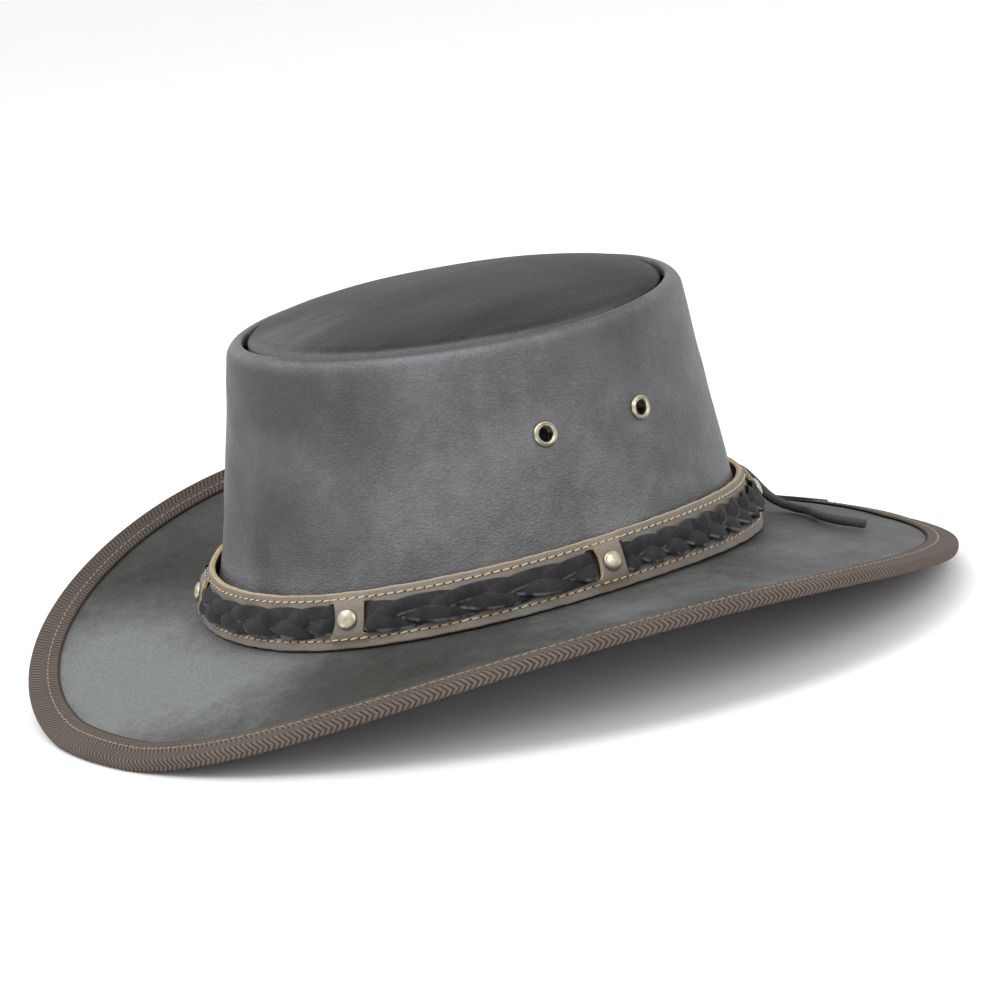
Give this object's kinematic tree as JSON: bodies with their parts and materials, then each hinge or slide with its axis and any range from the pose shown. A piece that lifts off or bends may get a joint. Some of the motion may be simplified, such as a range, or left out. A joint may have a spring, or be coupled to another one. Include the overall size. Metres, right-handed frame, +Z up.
{
  "type": "leather bush hat",
  "caption": "Wide-brimmed leather hat with a domed flat-topped crown, rolled sides, taped edge, and a riveted strap band holding a dark plait with a loose lace end.",
  "frame": {"origin": "on the surface that the hat rests on, under the middle of the brim", "axes": "+Z up through the crown, -Y towards the hat's front, +X towards the wearer's left"},
  "size_m": [0.3199, 0.3645, 0.1345],
  "materials": {
    "crown_leather": "waxed grain leather, soft satin with a fine pebble",
    "panel_leather": "darker waxed leather, low sheen",
    "brim_leather": "waxed leather, low sheen, rubbed lighter at the front",
    "binding_tape": "matt herringbone tape",
    "strap_leather": "mottled nubuck, matt, with stitched edges",
    "plait_suede": "matt suede",
    "brass": "aged satin brass"
  },
  "bodies": {
    "root": {"crown_side": "crown_leather", "crown_top": "panel_leather", "brim": "brim_leather", "brim_binding": "binding_tape", "band_strap": "strap_leather", "plait": "plait_suede", "rivet_1": "brass", "rivet_2": "brass", "rivet_3": "brass", "rivet_4": "brass", "rivet_5": "brass", "rivet_6": "brass", "eyelet_left_1": "brass", "eyelet_left_2": "brass", "eyelet_right_1": "brass", "eyelet_right_2": "brass", "lace_knot": "plait_suede", "lace_tail": "plait_suede"}
  },
  "joints": []
}
